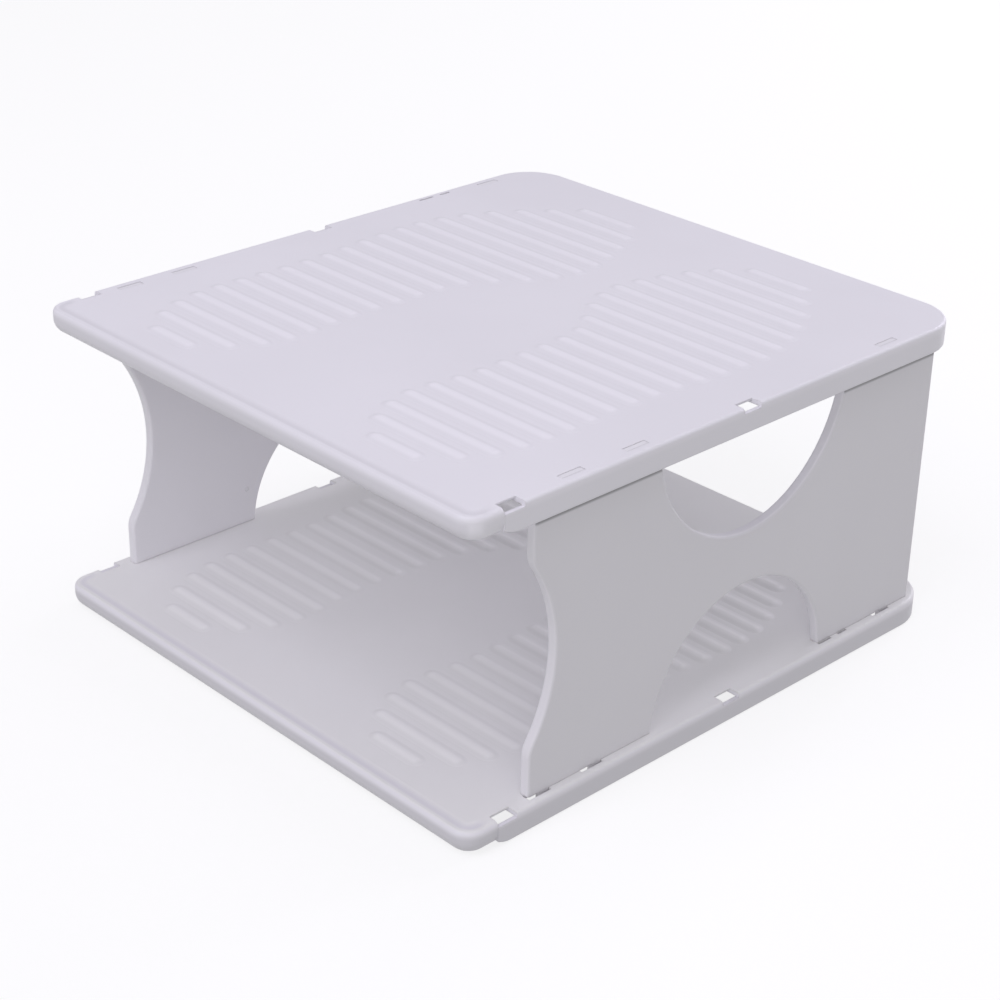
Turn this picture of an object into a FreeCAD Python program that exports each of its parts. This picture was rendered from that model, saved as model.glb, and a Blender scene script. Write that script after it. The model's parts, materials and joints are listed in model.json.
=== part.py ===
"""Two-tier laptop stand: two ribbed shelves joined by two hooked side walls.

Frame: millimetres, +Z up, X to the right along the open front edge, Y from front to back.
The origin is the centre of the footprint, on the surface that the stand rests on.
"""
import FreeCAD, Part
import math
import os

from FreeCAD import Vector

# Whole stand.
WIDTH = 300.0
DEPTH = 324.0
DECK_HEIGHT = 162.0

# Shelf moulding, a thin plate with a skirt all round.
SHELF_HEIGHT = 12.7
PLATE = 2.4
SKIRT = 2.2
CORNER_FRONT = 10.0
CORNER_BACK = 25.0
ROLL_TOP_RADIUS = 2.6
ROLL_LOW_RADIUS = 7.0
ROLL_LAND = 8.5
ROLL_BACK_Y = -144.2
ROLL_STEP_IN = 0.5
ARRIS_RADIUS = 1.6
FOOT_RADIUS = 1.2
SWEEP_LENGTH = 12.0
SWEEP_RADIUS = 28.0
RAIL_DEPTH = 5.0
RAIL_INNER_X = 139.5
RAIL_SPANS = ((-129.0, -12.0), (16.0, 149.4))

# Shallow valley on the deck that runs just inside the front roll.
VALLEY_INSET = 4.2
VALLEY_HALF_WIDTH = 3.6
VALLEY_DIP = 0.45

# Two sole-shaped fields of soft raised ribs.
RIB_ROWS = 21
RIB_PITCH = 13.4
RIB_BACK_Y = 128.9
RIB_WIDTH = 10.0
RIB_RISE = 0.9
RIB_CROWN_REACH = 0.40
RIB_FOOT_REACH = 0.42
RIB_FOOT_LIFT = 0.14
RIB_ROOT = 0.5
SOLE_OUTLINE = [
    (56.0, 138.5), (28.0, 117.5), (14.5, 87.5), (9.5, 61.5), (18.0, 35.5), (35.0, 9.5),
    (39.0, -23.5), (40.0, -68.5), (37.0, -98.5), (48.0, -126.5), (78.0, -145.5),
    (107.0, -127.5), (118.0, -95.5), (117.0, -38.5), (121.0, 13.5), (120.5, 59.5),
    (108.0, 91.5), (88.0, 119.5),
]

# Stiffeners under the plate.
STIFFENER_DEPTH = 3.0
STIFFENER_THICK = 1.8
STIFFENER_X = (-96.0, -48.0, 0.0, 48.0, 96.0)
STIFFENER_Y = (-105.0, -52.5, 0.0, 52.5, 105.0)

# Notches through the side edges, as (front, back) along Y, with a thin lip inside each.
NOTCHES = ((ROLL_BACK_Y, -133.2), (-0.6, 10.6))
NOTCH_INNER_X = 144.0
NOTCH_DROP = 2.6
NOTCH_LIP = 1.0
NOTCH_LIP_WIDTH = 3.0

# Side walls. The right one stands a little further back than the left one.
WALL_THICK = 5.6
WALL_OUTER_X = 145.4
WALL_FRONT_Y = -124.6
WALL_BACK_Y = 143.3
WALL_SHIFT_Y = 2.0
WALL_EDGE_RADIUS = 1.5
WALL_CORNER_RADIUS = 2.0
SEAT_GAP = 0.1
TOP_CUT = {"y": 12.9, "radius": 62.5, "lowest_z": 95.7}
LOW_CUT = {"y": 12.5, "radius": 59.6, "apex_z": 68.0}
HOLLOW_LOW_Z = 36.0
HOLLOW_HIGH_Z = 127.0
HOLLOW_DEPTH = 14.3
HOLLOW_BLEND = 12.0
GATE_MARK = {"y": -52.0, "z": 32.0, "radius": 1.3, "depth": 0.3}

# Slots through the shelves. Below, a hook's neck fills a slot's back half and its foot
# reaches back under the rail. Above, a plain tab fills the whole slot.
HOOK_NECK = 5.0
HOOK_FOOT = 7.9
HOOK_FOOT_DEPTH = 2.0
HOOK_TRAVEL = 8.0
TAB_THICK = 3.0
TAB_TOP_DROP = 0.15
TAB_GAP = 0.12
SLOT_LENGTH = HOOK_NECK + HOOK_TRAVEL + 2 * TAB_GAP
HOOK_SLOT_OUTER_X = 146.8
HOOKS_WIDE = (-123.1, -90.9, 115.5)
HOOKS_NARROW = (-108.1, -70.0, 99.7)
LATCH_SLOTS = ((73.7, 83.4), (88.6, 95.4))
LATCH_WIDTH = 1.2

SIDES = {"left": -1, "right": 1}


def block(x_range, y_range, z_range):
    """Box between two values on each axis, in any order."""
    low = Vector(min(x_range), min(y_range), min(z_range))
    high = Vector(max(x_range), max(y_range), max(z_range))
    return Part.makeBox(high.x - low.x, high.y - low.y, high.z - low.z, low)


def lies_flat_at(edge, z):
    """Whether an edge lies in the level plane at z."""
    return edge.BoundBox.ZLength < 1e-3 and abs(edge.CenterOfMass.z - z) < 1e-3


def rolled(body, end_y, low_radius, top_radius):
    """Rounds a prism's lower and upper rims, all but the straight ones at end_y."""
    rims = [edge for edge in body.Edges if not (edge.BoundBox.YLength < 1e-3
                                                and abs(edge.CenterOfMass.y - end_y) < 1e-3)]
    body = body.makeFillet(low_radius, [edge for edge in rims if lies_flat_at(edge, 0)])
    rims = [edge for edge in body.Edges if not (edge.BoundBox.YLength < 1e-3
                                                and abs(edge.CenterOfMass.y - end_y) < 1e-3)]
    return body.makeFillet(top_radius, [edge for edge in rims if lies_flat_at(edge, SHELF_HEIGHT)])


def open_prism(half_x, square_y, round_y, radius, z_range):
    """Upright prism on a rectangle whose two corners at round_y are rounded."""
    step = radius if round_y < square_y else -radius
    diagonal = step * (1 - 1 / math.sqrt(2))
    z = z_range[0]
    inner_x = half_x - radius
    corner_x = half_x - abs(diagonal)
    outline = [
        Part.makeLine(Vector(-half_x, square_y, z), Vector(-half_x, round_y + step, z)),
        Part.Arc(Vector(-half_x, round_y + step, z), Vector(-corner_x, round_y + diagonal, z),
                 Vector(-inner_x, round_y, z)).toShape(),
        Part.makeLine(Vector(-inner_x, round_y, z), Vector(inner_x, round_y, z)),
        Part.Arc(Vector(inner_x, round_y, z), Vector(corner_x, round_y + diagonal, z),
                 Vector(half_x, round_y + step, z)).toShape(),
        Part.makeLine(Vector(half_x, round_y + step, z), Vector(half_x, square_y, z)),
        Part.makeLine(Vector(half_x, square_y, z), Vector(-half_x, square_y, z)),
    ]
    return Part.Face(Part.Wire(outline)).extrude(Vector(0, 0, z_range[1] - z))


def shelf_outside():
    """Outer shape of a shelf: a rolled front that stops at the notches, then crisp sides."""
    half_x = WIDTH / 2
    half_y = DEPTH / 2
    heights = (0, SHELF_HEIGHT)
    front = rolled(open_prism(half_x - ROLL_STEP_IN, ROLL_BACK_Y, -half_y, CORNER_FRONT, heights),
                   ROLL_BACK_Y, ROLL_LOW_RADIUS, ROLL_TOP_RADIUS)
    rest = rolled(open_prism(half_x, ROLL_BACK_Y, half_y, CORNER_BACK, heights),
                  ROLL_BACK_Y, FOOT_RADIUS, ARRIS_RADIUS)
    return front.fuse(rest.cut(under_sweep()))


def under_sweep():
    """What the sides' lower edges leave free where they sweep up to meet the front roll."""
    x_range = (-WIDTH / 2 - 1, WIDTH / 2 + 1)
    sweep_end = ROLL_BACK_Y + SWEEP_LENGTH
    ahead = block(x_range, (ROLL_BACK_Y - 1, sweep_end), (-1, SWEEP_RADIUS))
    above = Part.makeCylinder(SWEEP_RADIUS, x_range[1] - x_range[0],
                              Vector(x_range[0], sweep_end, SWEEP_RADIUS), Vector(1, 0, 0))
    return ahead.cut(above)


def shelf_cavity():
    """Hollow under a shelf's plate."""
    heights = (-1, SHELF_HEIGHT - PLATE)
    half_y = DEPTH / 2
    front_y = ROLL_BACK_Y + SKIRT
    front = open_prism(WIDTH / 2 - ROLL_STEP_IN - ROLL_LAND, front_y + 1, ROLL_LAND - half_y,
                       CORNER_FRONT / 2, heights)
    rest = open_prism(WIDTH / 2 - SKIRT, front_y, half_y - SKIRT, CORNER_BACK - SKIRT, heights)
    return front.fuse(rest)


def sole_rows():
    """Where each rib of the right-hand field starts and ends, as (x, x, y)."""
    curve = Part.BSplineCurve()
    curve.interpolate([Vector(x, y, 0) for x, y in SOLE_OUTLINE], PeriodicFlag=True)
    sole = Part.Face(Part.Wire([curve.toShape()]))
    rows = []
    for row in range(RIB_ROWS):
        y = RIB_BACK_Y - row * RIB_PITCH
        across = Part.makeLine(Vector(0, y, 0), Vector(WIDTH / 2, y, 0))
        span = sole.common(across).BoundBox
        rows.append((span.XMin, span.XMax, y))
    return rows


def rib(x_start, x_end, y):
    """Low soft-footed bar along X with domed ends, its root sunk into the plate."""
    half = RIB_WIDTH / 2
    root = SHELF_HEIGHT - RIB_ROOT
    deck = SHELF_HEIGHT
    crown = Vector(x_start, y, deck + RIB_RISE)
    shoulder = Vector(x_start, y + half * RIB_CROWN_REACH, deck + RIB_RISE)
    ankle = Vector(x_start, y + half * (1 - RIB_FOOT_REACH), deck + RIB_FOOT_LIFT)
    base_mid = Vector(x_start, y, root)
    base_edge = Vector(x_start, y + half, root)
    foot = Vector(x_start, y + half, deck)
    flank = Part.BezierCurve()
    flank.setPoles([foot, ankle, shoulder, crown])
    outline = [Part.makeLine(base_mid, base_edge), Part.makeLine(base_edge, foot),
               flank.toShape(), Part.makeLine(crown, base_mid)]
    half_section = Part.Face(Part.Wire(outline))
    upright = Vector(0, 0, 1)
    near_dome = half_section.revolve(base_mid, upright, 180)
    length = Vector(x_end - x_start, 0, 0)
    far_section = half_section.copy()
    far_section.translate(length)
    far_dome = far_section.revolve(base_mid + length, upright, -180)
    other_half = half_section.mirror(base_mid, Vector(0, 1, 0))
    return [near_dome, half_section.extrude(length), other_half.extrude(length), far_dome]


def ribs():
    """Both rib fields, mirror images about the middle of the shelf."""
    half = RIB_WIDTH / 2
    solids = []
    for x_start, x_end, y in sole_rows():
        right = rib(x_start + half, x_end - half, y)
        solids += right
        solids += [solid.mirror(Vector(0, 0, 0), Vector(1, 0, 0)) for solid in right]
    return solids


def valley():
    """Shallow soft dip in the deck along the front roll and round its corners."""
    turn = CORNER_FRONT - VALLEY_INSET
    turn_x = WIDTH / 2 - ROLL_STEP_IN - CORNER_FRONT
    turn_y = CORNER_FRONT - DEPTH / 2
    middle = Vector(-turn_x, VALLEY_INSET - DEPTH / 2, SHELF_HEIGHT)
    front = middle - Vector(0, VALLEY_HALF_WIDTH, 0)
    back = middle + Vector(0, VALLEY_HALF_WIDTH, 0)
    over = Vector(0, 0, 1)
    outline = [Part.Arc(front, middle - Vector(0, 0, VALLEY_DIP), back).toShape(),
               Part.makeLine(back, back + over), Part.makeLine(back + over, front + over),
               Part.makeLine(front + over, front)]
    section = Part.Face(Part.Wire(outline))
    pieces = [section.extrude(Vector(2 * turn_x, 0, 0))]
    end_radius = (VALLEY_HALF_WIDTH ** 2 + VALLEY_DIP ** 2) / (2 * VALLEY_DIP)
    end_z = SHELF_HEIGHT - VALLEY_DIP + end_radius
    for sign in SIDES.values():
        start = section.copy()
        start.translate(Vector((sign + 1) * turn_x, 0, 0))
        pieces.append(start.revolve(Vector(sign * turn_x, turn_y, 0), over, sign * 90))
        pieces.append(Part.makeSphere(end_radius, Vector(sign * (turn_x + turn), turn_y, end_z)))
    return pieces


def stiffeners():
    """Crossed ribs under the plate, between the skirts."""
    z_range = (SHELF_HEIGHT - PLATE - STIFFENER_DEPTH, SHELF_HEIGHT - PLATE + RIB_ROOT)
    half = STIFFENER_THICK / 2
    y_range = (ROLL_LAND - DEPTH / 2 - 1, DEPTH / 2 - SKIRT / 2)
    reach_x = RAIL_INNER_X + SEAT_GAP
    bars = [block((x - half, x + half), y_range, z_range) for x in STIFFENER_X]
    bars += [block((-reach_x, reach_x), (y - half, y + half), z_range) for y in STIFFENER_Y]
    return bars


def side_rails(sign):
    """Thick strips under one side of the plate, which the walls bear on."""
    half_x = WIDTH / 2 - SKIRT / 2
    z_range = (SHELF_HEIGHT - RAIL_DEPTH, SHELF_HEIGHT - PLATE + RIB_ROOT)
    within = open_prism(half_x, ROLL_BACK_Y, DEPTH / 2 - SKIRT / 2, CORNER_BACK - SKIRT / 2, z_range)
    strips = [block((sign * RAIL_INNER_X, sign * half_x), y_range, z_range) for y_range in RAIL_SPANS]
    return [strip.common(within) for strip in strips]


def edge_notch(sign, y_range):
    """Notch through the plate's edge that leaves a lowered strip of skirt and a thin lip."""
    skirt_inner = WIDTH / 2 - SKIRT
    through = block((sign * NOTCH_INNER_X, sign * skirt_inner), y_range, (-1, SHELF_HEIGHT + 1))
    over_strip = block((sign * NOTCH_INNER_X, sign * (WIDTH / 2 + 1)), y_range,
                       (SHELF_HEIGHT - NOTCH_DROP, SHELF_HEIGHT + 1))
    under_lip = block((sign * (NOTCH_INNER_X - NOTCH_LIP_WIDTH), sign * skirt_inner), y_range,
                      (SHELF_HEIGHT - PLATE - 1, SHELF_HEIGHT - NOTCH_LIP))
    return [through, over_strip, under_lip]


def slots(sign, starts, outer_x):
    """One row of slots for a wall's hooks or tabs, with the rail gone from round each slot."""
    x_range = (sign * (WALL_OUTER_X - TAB_THICK - TAB_GAP), sign * outer_x)
    rail_x_range = (sign * (RAIL_INNER_X - 1), sign * (WIDTH / 2 - SKIRT))
    cuts = []
    for start in starts:
        y_range = (start, start + SLOT_LENGTH)
        cuts.append(block(x_range, y_range, (-1, SHELF_HEIGHT + 1)))
        cuts.append(block(rail_x_range, y_range, (-1, SHELF_HEIGHT - PLATE)))
    return cuts


def latch_slots(sign):
    """Two short narrow slots with a bar of plate between them, just outside the wall."""
    x_range = (sign * WALL_OUTER_X, sign * (WALL_OUTER_X + LATCH_WIDTH))
    return [block(x_range, y_range, (-1, SHELF_HEIGHT + 1)) for y_range in LATCH_SLOTS]


def shelf(slot_rows, slot_outer_x, latch_side):
    """One shelf. slot_rows gives each side's slot positions, latch_side the latch slots'."""
    body = shelf_outside().cut(shelf_cavity())
    body = body.fuse([rail for sign in SIDES.values() for rail in side_rails(sign)]
                     + stiffeners())
    body = body.fuse(ribs())
    body = body.cut(valley())
    cuts = []
    for side, sign in SIDES.items():
        for y_range in NOTCHES:
            cuts += edge_notch(sign, y_range)
        cuts += slots(sign, slot_rows[side], slot_outer_x)
        if side == latch_side:
            cuts += latch_slots(sign)
    for tool in cuts:
        body = body.cut(tool)
    return body.removeSplitter()


def wall_panel(low_z, high_z):
    """Flat wall in the YZ plane, from x = 0 to its thickness, with both half-round cut-outs.

    Its rounded rims stop square at the lower edge, which stands flat on the shelf.
    """
    seat_z = low_z
    low_z = seat_z - WALL_EDGE_RADIUS - WALL_CORNER_RADIUS
    mid_z = (HOLLOW_LOW_Z + HOLLOW_HIGH_Z) / 2
    corners = [Vector(0, WALL_FRONT_Y, low_z), Vector(0, WALL_FRONT_Y, HOLLOW_LOW_Z),
               Vector(0, WALL_FRONT_Y, HOLLOW_HIGH_Z), Vector(0, WALL_FRONT_Y, high_z),
               Vector(0, WALL_BACK_Y, high_z), Vector(0, WALL_BACK_Y, low_z)]
    deepest = Vector(0, WALL_FRONT_Y + HOLLOW_DEPTH, mid_z)
    outline = [Part.makeLine(corners[0], corners[1]),
               Part.Arc(corners[1], deepest, corners[2]).toShape(),
               Part.makeLine(corners[2], corners[3]), Part.makeLine(corners[3], corners[4]),
               Part.makeLine(corners[4], corners[5]), Part.makeLine(corners[5], corners[0])]
    panel = Part.Face(Part.Wire(outline)).extrude(Vector(WALL_THICK, 0, 0))
    blend = [edge for edge in upright_edges(panel)
             if on_front_edge(edge) and is_one_of(edge.CenterOfMass.z, (HOLLOW_LOW_Z, HOLLOW_HIGH_Z))]
    panel = panel.makeFillet(HOLLOW_BLEND, blend)
    through = Vector(1, 0, 0)
    low_centre = Vector(-1, LOW_CUT["y"], LOW_CUT["apex_z"] - LOW_CUT["radius"])
    low_disc = Part.makeCylinder(LOW_CUT["radius"], WALL_THICK + 2, low_centre, through)
    top_centre_z = TOP_CUT["lowest_z"] + TOP_CUT["radius"]
    top_centre = Vector(-1, TOP_CUT["y"], top_centre_z)
    top_disc = Part.makeCylinder(TOP_CUT["radius"], WALL_THICK + 2, top_centre, through)
    top_neck = block((-1, WALL_THICK + 1),
                     (TOP_CUT["y"] - TOP_CUT["radius"], TOP_CUT["y"] + TOP_CUT["radius"]),
                     (top_centre_z, high_z + 1))
    panel = panel.cut([low_disc, top_disc, top_neck])
    corner_edges = [edge for edge in upright_edges(panel)
                    if is_one_of(edge.CenterOfMass.z, (low_z, high_z))]
    panel = panel.makeFillet(WALL_CORNER_RADIUS, corner_edges)
    rims = [edge for edge in panel.Edges if edge.BoundBox.XLength < 1e-3]
    panel = panel.makeFillet(WALL_EDGE_RADIUS, rims)
    below_seat = block((-1, WALL_THICK + 1), (WALL_FRONT_Y - 1, WALL_BACK_Y + 1), (low_z - 1, seat_z))
    return panel.cut(below_seat)


def upright_edges(panel):
    """Edges that run straight through the wall's thickness."""
    return [edge for edge in panel.Edges if abs(edge.BoundBox.XLength - WALL_THICK) < 1e-3
            and edge.BoundBox.YLength < 1e-3 and edge.BoundBox.ZLength < 1e-3]


def on_front_edge(edge):
    """Whether an edge lies on the wall's front line."""
    return abs(edge.CenterOfMass.y - WALL_FRONT_Y) < 1e-3


def is_one_of(value, choices):
    """Whether a number equals one of a few others."""
    return any(abs(value - choice) < 1e-3 for choice in choices)


def hook(slot_start, edge_z, root_z):
    """Hook under a wall: a neck through the slot and a foot that points back."""
    x_range = (WALL_THICK - TAB_THICK, WALL_THICK)
    neck_front = slot_start + HOOK_TRAVEL + TAB_GAP
    neck_back = neck_front + HOOK_NECK
    foot_top = edge_z - RAIL_DEPTH - 2 * SEAT_GAP
    foot_low = foot_top - HOOK_FOOT_DEPTH
    neck = block(x_range, (neck_front, neck_back), (foot_low, root_z))
    foot = block(x_range, (neck_back - 1, neck_back + HOOK_FOOT), (foot_low, foot_top))
    return neck.fuse(foot).removeSplitter()


def tab(slot_start, root_z):
    """Plain tab on a wall's top, which ends just below the deck."""
    y_range = (slot_start + TAB_GAP, slot_start + SLOT_LENGTH - TAB_GAP)
    return block((WALL_THICK - TAB_THICK, WALL_THICK), y_range,
                 (root_z, DECK_HEIGHT - TAB_TOP_DROP))


def side_wall(sign, hook_starts, tab_starts):
    """One side wall with its gate mark, hooks and tabs, at its place in the stand."""
    low_z = SHELF_HEIGHT + SEAT_GAP
    high_z = DECK_HEIGHT - RAIL_DEPTH - SEAT_GAP
    root = WALL_EDGE_RADIUS + WALL_CORNER_RADIUS
    shift = Vector(0, sign * WALL_SHIFT_Y, 0)
    wall = wall_panel(low_z, high_z)
    wall.translate(shift)
    mark = Part.makeCylinder(GATE_MARK["radius"], GATE_MARK["depth"] + 1,
                             Vector(-1, GATE_MARK["y"], GATE_MARK["z"]) + shift, Vector(1, 0, 0))
    wall = wall.cut(mark)
    wall = wall.fuse([hook(start, low_z, low_z + root) for start in hook_starts]
                     + [tab(start, high_z - root) for start in tab_starts])
    wall = wall.removeSplitter()
    if sign < 0:
        wall = wall.mirror(Vector(0, 0, 0), Vector(1, 0, 0))
    wall.translate(Vector(sign * (WALL_OUTER_X - WALL_THICK), 0, 0))
    return wall


def build():
    """Every node, by name."""
    tab_slot_outer_x = WALL_OUTER_X + TAB_GAP
    lower = shelf({"right": HOOKS_WIDE, "left": HOOKS_NARROW}, HOOK_SLOT_OUTER_X, "right")
    upper = shelf({"right": HOOKS_NARROW, "left": HOOKS_WIDE}, tab_slot_outer_x, "left")
    upper.translate(Vector(0, 0, DECK_HEIGHT - SHELF_HEIGHT))
    return {
        "bottom_shelf": lower,
        "top_shelf": upper,
        "right_wall": side_wall(1, HOOKS_WIDE, HOOKS_NARROW),
        "left_wall": side_wall(-1, HOOKS_NARROW, HOOKS_WIDE),
    }


os.makedirs("parts", exist_ok=True)
for name, shape in build().items():
    shape.exportStep("parts/" + name + ".step")
    size = shape.BoundBox
    print(name, "valid", shape.isValid(), "solids", len(shape.Solids), "faces", len(shape.Faces),
          "volume", round(shape.Volume), "x", round(size.XMin, 1), round(size.XMax, 1),
          "y", round(size.YMin, 1), round(size.YMax, 1), "z", round(size.ZMin, 1), round(size.ZMax, 1))
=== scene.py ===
"""Looks of the two-tier laptop stand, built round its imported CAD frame.

The four mouldings are kept as they are. This script gives them moulded-plastic materials and
sets up the camera, a pale floor and soft studio light. Lengths are in metres, +Z is up, and +Y
runs from the open front to the open back.
"""

import json
import math

import bpy
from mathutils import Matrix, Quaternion, Vector


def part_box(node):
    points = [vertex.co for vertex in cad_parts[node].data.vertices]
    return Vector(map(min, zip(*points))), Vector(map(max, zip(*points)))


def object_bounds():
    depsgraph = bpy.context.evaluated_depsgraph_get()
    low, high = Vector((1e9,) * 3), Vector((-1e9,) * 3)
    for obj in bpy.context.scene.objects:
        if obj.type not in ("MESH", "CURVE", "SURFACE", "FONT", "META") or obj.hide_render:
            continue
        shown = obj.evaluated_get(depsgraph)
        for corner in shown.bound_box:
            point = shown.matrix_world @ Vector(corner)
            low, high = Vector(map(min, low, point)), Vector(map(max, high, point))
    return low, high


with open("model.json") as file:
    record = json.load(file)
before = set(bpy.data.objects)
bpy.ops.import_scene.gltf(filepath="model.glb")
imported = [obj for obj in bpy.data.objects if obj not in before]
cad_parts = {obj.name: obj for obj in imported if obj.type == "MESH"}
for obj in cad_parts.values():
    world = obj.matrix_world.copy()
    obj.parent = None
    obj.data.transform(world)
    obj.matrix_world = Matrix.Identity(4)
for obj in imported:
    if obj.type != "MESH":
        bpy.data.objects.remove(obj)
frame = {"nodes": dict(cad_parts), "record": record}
cad_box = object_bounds()

CAD_LOW, CAD_HIGH = (Vector(corner) for corner in cad_box)
CENTRE = (CAD_LOW + CAD_HIGH) / 2

# Camera, as angles in degrees round the stand and a distance from the point it aims at.
CAMERA_AZIMUTH = 45.98
CAMERA_ELEVATION = 26.92
CAMERA_ROLL = 1.15
CAMERA_DISTANCE = 1.0896
CAMERA_LENS = 78.56
CAMERA_REACH = 50.0
AIM_OFFSET = Vector((-0.0019, -0.0006, -0.0215))

# Light. The sky is brighter to the camera than it is as a light.
SKY_COLOR = (0.98, 0.966, 1.0)
SKY_STRENGTH = 0.455
SEEN_SKY_STRENGTH = 1.0
LIGHT_TARGET = Vector((0.0, 0.0, 0.08))
LAVENDER = (0.88, 0.83, 1.0)
PALE_LAVENDER = (0.90, 0.86, 1.0)
NEUTRAL = (0.99, 0.98, 1.0)
SOFTBOXES = [
    # name, place, size, power, color
    ("overhead", (0.0, 0.0, 2.2), 1.8, 4.4, LAVENDER),
    ("overhead_front", (0.0, -1.4, 1.9), 1.6, 15.0, PALE_LAVENDER),
    ("back", (0.0, 2.3, 0.9), 1.4, 19.0, PALE_LAVENDER),
    ("front", (0.0, -2.3, 0.8), 1.4, 0.5, NEUTRAL),
    ("front_right", (1.8, -1.6, 1.1), 1.4, 9.0, NEUTRAL),
]

# Floor.
FLOOR_RADIUS = 7.0
FLOOR_SIDES = 96
FLOOR_GAP = 0.0002
FLOOR_COLOR = (0.30, 0.30, 0.305)
FLOOR_CLOUD_SCALE = 3.0
FLOOR_CLOUD_GAIN = 0.985
FLOOR_ROUGHNESS = 0.85
FLOOR_GLOW_COLOR = (1.0, 1.0, 1.0)
FLOOR_GLOW = 0.73

# Moulded plastic. A scale is in features per metre. A band is where a mask starts and is full.
MATERIAL_SEED = 0.37
IOR = 1.49
CLOUD_SCALE = 9.0
CLOUD_BAND = (0.3, 0.7)
CLOUD_GAINS = (0.985, 1.012)
FLECK_SCALE = 700.0
FLECK_BAND = (0.62, 0.8)
FLECK_SHARE = 0.35
FLECK_GAIN = 0.94
GRAIN_SCALE = 3200.0
GRAIN_ROUGHNESS = 0.6
GRAIN_RELIEF = 0.10
WAVE_SCALE = 26.0
BUMP_STRENGTH = 0.5
BUMP_DEPTH = 0.00012
ROUGHNESS_BAND = (0.3, 0.7)
ROUGHNESS_RANGE = (0.40, 0.48)

# Painted shade in the moulding's crevices, found by ambient occlusion.
CREVICE_REACH = 0.006
CREVICE_BAND = (0.25, 0.75)
CREVICE_SHADE = 0.32
CREVICE_SHADE_GAINS = (0.80, 0.78, 0.76)

# Rubbed edges, found by how far a rounded normal leans from the face's own.
EDGE_RADIUS = 0.0007
EDGE_BAND = (0.995, 0.86)
EDGE_WEAR = 0.5
WEAR_SCALE = 120.0
WEAR_BAND = (0.35, 0.65)
WORN_COLOR = (0.90, 0.89, 0.90)
WORN_GLOSS = 0.12

# Long fine scuffs that dull the gloss.
SCUFF_STRETCH = (1.0, 0.05, 1.0)
SCUFF_TURN = (0.0, 0.0, 0.35)
SCUFF_SCALE = 1500.0
SCUFF_BAND = (0.60, 0.72)
SCUFF_CLOUD_BAND = (0.55, 0.7)
SCUFF_ROUGHNESS = 0.10

# The shelves are alike, one shelf pitch apart. Heights are over a shelf's own base.
SHELF_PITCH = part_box("top_shelf")[0].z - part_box("bottom_shelf")[0].z
RIB_RISE = 0.0009
CROWN_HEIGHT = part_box("bottom_shelf")[1].z
DECK_HEIGHT = CROWN_HEIGHT - RIB_RISE

# Painted highlight on the rib crowns, brighter than the painted shade at the rib's foot, as rises
# over the deck.
FOOT_RISES = (0.00003, 0.00012)
CROWN_START_RISE = 0.0002
CROWN_HIGHLIGHT_GAIN = 1.075
FOOT_SHADE_GAIN = 0.985

# Painted light colour: the lower deck, in the upper shelf's shade, is tinted a little less blue
# than the upper one.
LOWER_DECK_LIGHT_TINT = (0.99, 1.0, 0.95)
DECK_EDGE_DROPS = (0.0012, 0.0002)

# Painted shade on the shelves' flanks, full below the first height and none above the second.
# The lower shelf has all of it, and the upper one some on its front and sides.
FLANK_SHADE_HEIGHTS = (0.0080, 0.0112)
FLANK_SHADE_GAIN = 0.80
UPPER_FRONT_SHADE = 0.55
FRONT_SHADE_INSETS = (0.001, 0.003)
UPPER_SIDE_SHADE = 0.30
SIDE_SHADE_INSETS = (0.0015, 0.0005)

# Painted shade in the valley that follows a shelf's rounded front edge, as distances in from that
# edge where it starts, is full and ends. It fades out along the sides behind the front corners.
FRONT_TURN_RADIUS = 0.010
FRONT_STEP_IN = 0.0005
FRONT_TURN_X = CAD_HIGH.x - FRONT_STEP_IN - FRONT_TURN_RADIUS
FRONT_TURN_Y = CAD_LOW.y + FRONT_TURN_RADIUS
VALLEY_INSETS = (0.0022, 0.0040, 0.0078)
VALLEY_FADE = 0.006
VALLEY_SHADE_GAIN = 0.90

# Painted shade on a wall's outer face: a little all over, and a thin dark line of painted shadow
# where the upper skirt hangs over it. The line starts, is full, starts to fade and ends at these
# rises over the skirt's foot.
WALL_FACE_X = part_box("right_wall")[1].x
WALL_FACE_DEPTHS = (0.0008, 0.0004)
SKIRT_FOOT_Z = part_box("top_shelf")[0].z
SEAM_RISES = (-0.0047, -0.0031, -0.0027, 0.0037)
SEAM_SHADE = 0.8
WALL_FACE_SHADE = 0.13
WALL_SHADE_GAIN = 0.25


def place_camera():
    """Camera at the stand's viewing angle, aimed a little below the middle of its box."""
    azimuth = math.radians(CAMERA_AZIMUTH)
    elevation = math.radians(CAMERA_ELEVATION)
    forward = Vector((-math.sin(azimuth) * math.cos(elevation),
                      math.cos(azimuth) * math.cos(elevation),
                      -math.sin(elevation)))
    data = bpy.data.cameras.new("camera")
    data.lens = CAMERA_LENS
    data.clip_end = CAMERA_REACH
    camera = bpy.data.objects.new("camera", data)
    bpy.context.scene.collection.objects.link(camera)
    camera.location = CENTRE + AIM_OFFSET - forward * CAMERA_DISTANCE
    camera.rotation_mode = "QUATERNION"
    roll = Quaternion((0.0, 0.0, 1.0), math.radians(CAMERA_ROLL))
    camera.rotation_quaternion = forward.to_track_quat("-Z", "Y") @ roll
    bpy.context.scene.camera = camera


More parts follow.
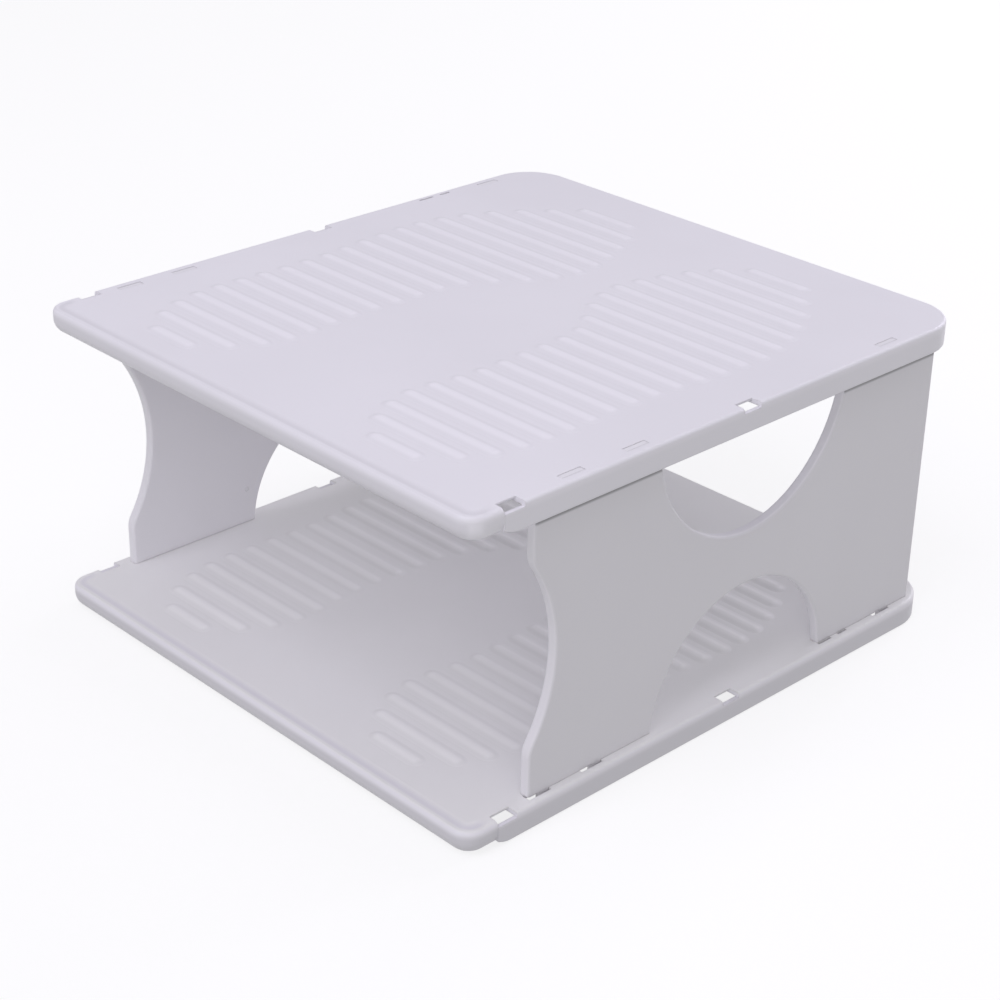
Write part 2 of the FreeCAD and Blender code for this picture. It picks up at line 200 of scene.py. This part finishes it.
class Graph:
    """Short way to write a node tree."""

    def __init__(self, tree):
        self.tree = tree
        tree.nodes.clear()

    def feed(self, socket, value):
        """Sets an input to a number or colour, or links it to another node's output."""
        if isinstance(value, bpy.types.NodeSocket):
            self.tree.links.new(value, socket)
        else:
            socket.default_value = value

    def node(self, kind, inputs=None, **settings):
        """New node, with its inputs by name or index."""
        node = self.tree.nodes.new(kind)
        for key, value in settings.items():
            setattr(node, key, value)
        for key, value in (inputs or {}).items():
            self.feed(node.inputs[key], value)
        return node

    def noise(self, where, scale, detail=2.0, roughness=0.5):
        """Noise from 0 to 1 with its features 1/scale metres apart."""
        inputs = {"Vector": where, "Scale": scale, "Detail": detail, "Roughness": roughness}
        return self.node("ShaderNodeTexNoise", inputs).outputs["Fac"]

    def ramp(self, value, low, high, out_low=0.0, out_high=1.0):
        """Maps low..high to out_low..out_high, and holds the ends."""
        inputs = {"Value": value, "From Min": low, "From Max": high,
                  "To Min": out_low, "To Max": out_high}
        node = self.node("ShaderNodeMapRange", inputs, interpolation_type="SMOOTHSTEP")
        return node.outputs["Result"]

    def math(self, operation, first, second=0.0):
        """One arithmetic step."""
        return self.node("ShaderNodeMath", {0: first, 1: second}, operation=operation).outputs[0]

    def vector_math(self, operation, first, second, output="Vector"):
        """One arithmetic step on vectors or colours."""
        node = self.node("ShaderNodeVectorMath", {0: first, 1: second}, operation=operation)
        return node.outputs[output]

    def mix(self, factor, first, second):
        """Colour mix."""
        node = self.node("ShaderNodeMix", data_type="RGBA")
        for index, value in ((0, factor), (6, first), (7, second)):
            self.feed(node.inputs[index], value)
        return node.outputs[2]


def rgba(color, gain=1.0):
    """Opaque colour, times a gain."""
    return (color[0] * gain, color[1] * gain, color[2] * gain, 1.0)


def on_lower_shelf(graph, axes):
    """One on the lower shelf and nought on the upper one."""
    return graph.math("LESS_THAN", axes.outputs["Z"], SHELF_PITCH / 2)


def height_on_shelf(graph, axes):
    """Height over the base of whichever shelf a point is on."""
    return graph.math("MODULO", axes.outputs["Z"], SHELF_PITCH)


def shelf_flank_shade(graph, axes, height):
    """How much painted shade lies on a shelf's flanks, from 0 to 1."""
    low = graph.ramp(height, *FLANK_SHADE_HEIGHTS, 1.0, 0.0)
    front_full, front_end = (CAD_LOW.y + inset for inset in FRONT_SHADE_INSETS)
    on_front = graph.ramp(axes.outputs["Y"], front_full, front_end, UPPER_FRONT_SHADE, 0.0)
    side_start, side_full = (CAD_HIGH.x - inset for inset in SIDE_SHADE_INSETS)
    across = graph.math("ABSOLUTE", axes.outputs["X"])
    on_side = graph.ramp(across, side_start, side_full, 0.0, UPPER_SIDE_SHADE)
    where = graph.math("MAXIMUM", on_lower_shelf(graph, axes),
                       graph.math("MAXIMUM", on_front, on_side))
    return graph.math("MULTIPLY", low, where)


def valley_shade(graph, axes):
    """How much painted shade lies in the valley behind the front roll, from 0 to 1."""
    across = graph.math("ABSOLUTE", axes.outputs["X"])
    past_x = graph.math("MAXIMUM", graph.math("SUBTRACT", across, FRONT_TURN_X), 0.0)
    past_y = graph.math("MAXIMUM", graph.math("SUBTRACT", FRONT_TURN_Y, axes.outputs["Y"]), 0.0)
    squares = graph.math("ADD", graph.math("POWER", past_x, 2.0), graph.math("POWER", past_y, 2.0))
    inset = graph.math("SUBTRACT", FRONT_TURN_RADIUS, graph.math("SQRT", squares))
    start, full, end = VALLEY_INSETS
    inside = graph.math("MULTIPLY", graph.ramp(inset, start, full),
                        graph.ramp(inset, full, end, 1.0, 0.0))
    ahead = graph.ramp(axes.outputs["Y"], FRONT_TURN_Y, FRONT_TURN_Y + VALLEY_FADE, 1.0, 0.0)
    return graph.math("MULTIPLY", inside, ahead)


def shelf_tone(graph, axes, color, body):
    """Painted light on a shelf: lit rib crowns, a warmer lower deck, shaded flanks and valley."""
    height = height_on_shelf(graph, axes)
    # Painted highlight on the rib crowns and painted shade at their feet.
    foot_start, foot_full = (DECK_HEIGHT + rise for rise in FOOT_RISES)
    on_rib = graph.ramp(height, foot_start, foot_full)
    crown = graph.ramp(height, DECK_HEIGHT + CROWN_START_RISE, CROWN_HEIGHT)
    ridge = graph.mix(crown, rgba(color, FOOT_SHADE_GAIN), rgba(color, CROWN_HIGHLIGHT_GAIN))
    body = graph.mix(on_rib, body, ridge)
    # Painted light colour: the lower deck is tinted less blue than the upper one.
    edge_start, edge_full = (DECK_HEIGHT - drop for drop in DECK_EDGE_DROPS)
    on_lower_deck = graph.math("MULTIPLY", on_lower_shelf(graph, axes),
                               graph.ramp(height, edge_start, edge_full))
    painted_light_tint = graph.mix(on_lower_deck, rgba((1.0, 1.0, 1.0)), rgba(LOWER_DECK_LIGHT_TINT))
    body = graph.vector_math("MULTIPLY", body, painted_light_tint)
    # Painted shade on the shelves' flanks.
    body = graph.mix(shelf_flank_shade(graph, axes, height), body, rgba(color, FLANK_SHADE_GAIN))
    # Painted shade in the valley behind the front roll.
    return graph.mix(valley_shade(graph, axes), body, rgba(color, VALLEY_SHADE_GAIN))


def wall_tone(graph, axes, color, body):
    """A wall's painted shade on its outer face, most of it a shadow line under the upper skirt."""
    face_start, face_full = (WALL_FACE_X - depth for depth in WALL_FACE_DEPTHS)
    outside = graph.ramp(graph.math("ABSOLUTE", axes.outputs["X"]), face_start, face_full)
    start, full, fade, end = (SKIRT_FOOT_Z + rise for rise in SEAM_RISES)
    # Painted shadow under the upper skirt, over a little painted shade on the whole outer face.
    rise = graph.ramp(axes.outputs["Z"], start, full, WALL_FACE_SHADE, SEAM_SHADE)
    fall = graph.ramp(axes.outputs["Z"], fade, end, SEAM_SHADE, WALL_FACE_SHADE)
    painted_shade = graph.math("MULTIPLY", outside, graph.math("MINIMUM", rise, fall))
    return graph.mix(painted_shade, body, rgba(color, WALL_SHADE_GAIN))


def plastic_tone(graph, color, cloud, fleck):
    """The plastic's own colour, with faint clouds and flecks, and painted shade in its crevices."""
    body = graph.mix(graph.ramp(cloud, *CLOUD_BAND), *(rgba(color, gain) for gain in CLOUD_GAINS))
    body = graph.mix(graph.ramp(fleck, *FLECK_BAND, 0.0, FLECK_SHARE), body, rgba(color, FLECK_GAIN))
    # Painted shade: darker where ambient occlusion finds a crevice.
    crevice = graph.node("ShaderNodeAmbientOcclusion", {"Distance": CREVICE_REACH}, samples=4)
    crevice_shade = graph.ramp(crevice.outputs["AO"], *CREVICE_BAND, CREVICE_SHADE, 0.0)
    shaded_color = [channel * gain for channel, gain in zip(color, CREVICE_SHADE_GAINS)]
    return graph.mix(crevice_shade, body, rgba(shaded_color))


def edge_wear(graph, rounded_normal, where):
    """How far the edges are rubbed, in patches, from 0 to 1."""
    face_normal = graph.node("ShaderNodeNewGeometry").outputs["Normal"]
    leaning = graph.vector_math("DOT_PRODUCT", rounded_normal, face_normal, "Value")
    patches = graph.ramp(graph.noise(where, WEAR_SCALE, 3.0), *WEAR_BAND)
    return graph.math("MULTIPLY", graph.ramp(leaning, *EDGE_BAND, 0.0, EDGE_WEAR), patches)


def plastic_roughness(graph, where, cloud, fleck, rubbed):
    """Roughness that varies with the flecks, higher on scuffs and lower on rubbed edges."""
    streak_place = graph.node("ShaderNodeMapping", {"Vector": where, "Scale": SCUFF_STRETCH,
                                                    "Rotation": SCUFF_TURN}).outputs["Vector"]
    streak = graph.ramp(graph.noise(streak_place, SCUFF_SCALE), *SCUFF_BAND)
    scuff = graph.math("MULTIPLY", streak, graph.ramp(cloud, *SCUFF_CLOUD_BAND))
    roughness = graph.ramp(fleck, *ROUGHNESS_BAND, *ROUGHNESS_RANGE)
    roughness = graph.math("ADD", roughness, graph.math("MULTIPLY", scuff, SCUFF_ROUGHNESS))
    return graph.math("SUBTRACT", roughness, graph.math("MULTIPLY", rubbed, WORN_GLOSS))


def moulded_plastic(name, color, seed, painted_shading):
    """Satin white moulding: fine spark grain, gentle sink waves, rubbed edges, painted shade in
    corners.

    The shading function given adds the painted light and shade that only a shelf or only a wall has.
    """
    material = bpy.data.materials.new(name)
    material.use_nodes = True
    graph = Graph(material.node_tree)
    place = graph.node("ShaderNodeTexCoord").outputs["Object"]
    shift = {"Vector": place, "Location": (seed, seed / 2, seed / 3)}
    where = graph.node("ShaderNodeMapping", shift).outputs["Vector"]
    cloud = graph.noise(where, CLOUD_SCALE, 3.0)
    fleck = graph.noise(where, FLECK_SCALE)
    grain = graph.noise(where, GRAIN_SCALE, 2.0, GRAIN_ROUGHNESS)
    wave = graph.noise(where, WAVE_SCALE, 1.0)

    axes = graph.node("ShaderNodeSeparateXYZ", {"Vector": place})
    # Painted light and shade of a shelf or a wall, over the plastic's own colour.
    body = painted_shading(graph, axes, color, plastic_tone(graph, color, cloud, fleck))
    rounded = graph.node("ShaderNodeBevel", {"Radius": EDGE_RADIUS}, samples=6).outputs["Normal"]
    rubbed = edge_wear(graph, rounded, where)
    body = graph.mix(rubbed, body, rgba(WORN_COLOR))

    relief = graph.math("ADD", wave, graph.math("MULTIPLY", grain, GRAIN_RELIEF))
    bump = graph.node("ShaderNodeBump", {"Height": relief, "Normal": rounded,
                                         "Strength": BUMP_STRENGTH, "Distance": BUMP_DEPTH})
    shader = graph.node("ShaderNodeBsdfPrincipled",
                        {"Base Color": body, "Normal": bump.outputs["Normal"], "IOR": IOR,
                         "Roughness": plastic_roughness(graph, where, cloud, fleck, rubbed)})
    graph.node("ShaderNodeOutputMaterial", {"Surface": shader.outputs["BSDF"]})
    return material


def dress():
    """Gives each CAD node its moulded plastic."""
    # Each slot's painted highlights and shade.
    painted_shading = {"shelf_plastic": shelf_tone, "wall_plastic": wall_tone}
    materials = {}
    for index, entry in enumerate(frame["record"]["materials"]):
        slot = entry["slot"]
        materials[slot] = moulded_plastic(slot + "_moulded", entry["base_color"],
                                          MATERIAL_SEED + index, painted_shading[slot])
    for entry in frame["record"]["subparts"]:
        node = frame["nodes"][entry["node"]]
        for slot in node.material_slots:
            slot.material = materials[entry["material_slot"]]


def pale_floor():
    """Round floor that goes out past the view. It looks lit through, but casts no bounce light."""
    bpy.ops.mesh.primitive_circle_add(vertices=FLOOR_SIDES, radius=FLOOR_RADIUS, fill_type="NGON",
                                      location=(0.0, 0.0, CAD_LOW.z - FLOOR_GAP))
    floor = bpy.context.object
    floor.name = "floor"
    material = bpy.data.materials.new("pale_floor")
    material.use_nodes = True
    graph = Graph(material.node_tree)
    place = graph.node("ShaderNodeTexCoord").outputs["Object"]
    cloud = graph.noise(place, FLOOR_CLOUD_SCALE)
    tone = graph.mix(cloud, rgba(FLOOR_COLOR, FLOOR_CLOUD_GAIN), rgba(FLOOR_COLOR))
    shader = graph.node("ShaderNodeBsdfPrincipled",
                        {"Base Color": tone, "Roughness": FLOOR_ROUGHNESS,
                         "Emission Color": rgba(FLOOR_GLOW_COLOR), "Emission Strength": FLOOR_GLOW})
    graph.node("ShaderNodeOutputMaterial", {"Surface": shader.outputs["BSDF"]})
    floor.data.materials.append(material)
    floor.visible_diffuse = False


def pale_sky():
    """Even sky."""
    world = bpy.data.worlds.new("studio")
    bpy.context.scene.world = world
    world.use_nodes = True
    graph = Graph(world.node_tree)
    seen = graph.node("ShaderNodeLightPath").outputs["Is Camera Ray"]
    strength = graph.ramp(seen, 0.0, 1.0, SKY_STRENGTH, SEEN_SKY_STRENGTH)
    sky = graph.node("ShaderNodeBackground", {"Color": rgba(SKY_COLOR), "Strength": strength})
    graph.node("ShaderNodeOutputWorld", {"Surface": sky.outputs["Background"]})


def softbox(name, place, size, power, color):
    """Square area light that faces the stand."""
    data = bpy.data.lights.new(name, "AREA")
    data.shape = "SQUARE"
    data.size = size
    data.energy = power
    data.color = color
    light = bpy.data.objects.new(name, data)
    bpy.context.scene.collection.objects.link(light)
    light.location = place
    direction = LIGHT_TARGET - Vector(place)
    light.rotation_mode = "QUATERNION"
    light.rotation_quaternion = direction.to_track_quat("-Z", "Y")


bpy.context.scene.view_settings.view_transform = "Standard"
place_camera()
dress()
pale_floor()
pale_sky()
for box in SOFTBOXES:
    softbox(*box)
